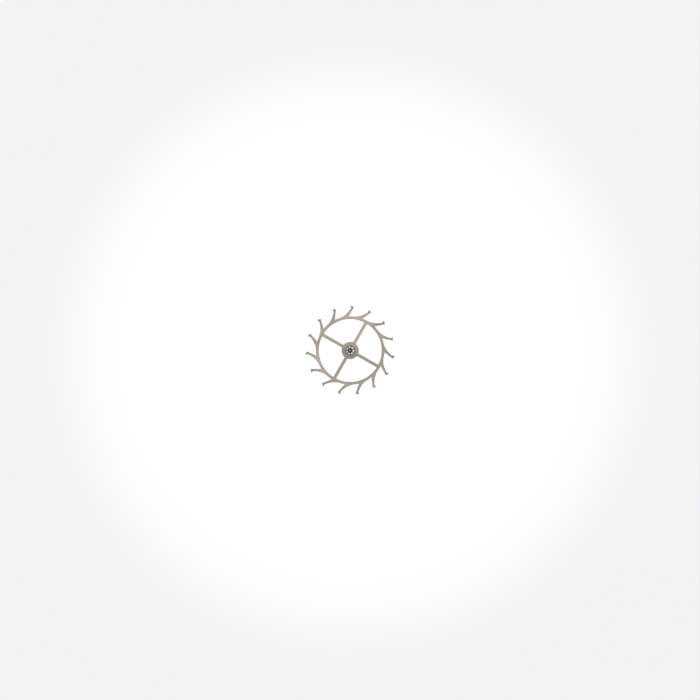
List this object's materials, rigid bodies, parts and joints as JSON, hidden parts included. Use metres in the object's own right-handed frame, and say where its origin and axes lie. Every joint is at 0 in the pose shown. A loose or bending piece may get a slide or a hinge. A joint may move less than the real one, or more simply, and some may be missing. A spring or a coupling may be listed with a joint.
{
  "type": "escape wheel",
  "caption": "Club-toothed escape wheel of a lever watch with crossed arms, riveted to its leaved pinion, with a pivot at each end of the arbor.",
  "frame": {"origin": "on the arbor's axis, at the tip of the lower pivot", "axes": "+Z along the arbor towards the pinion leaves and the upper pivot; X and Y along the wheel's arms; seen from +Z the teeth lean clockwise, the way the wheel turns"},
  "size_m": [0.005, 0.005, 0.0024],
  "materials": {
    "wheel_steel": "satin, fine straight grain, bevelled clubs",
    "pinion_steel": "turned, with polished leaves and burnished pivots"
  },
  "bodies": {
    "root": {"escape_wheel": "wheel_steel", "escape_pinion": "pinion_steel"}
  },
  "joints": []
}
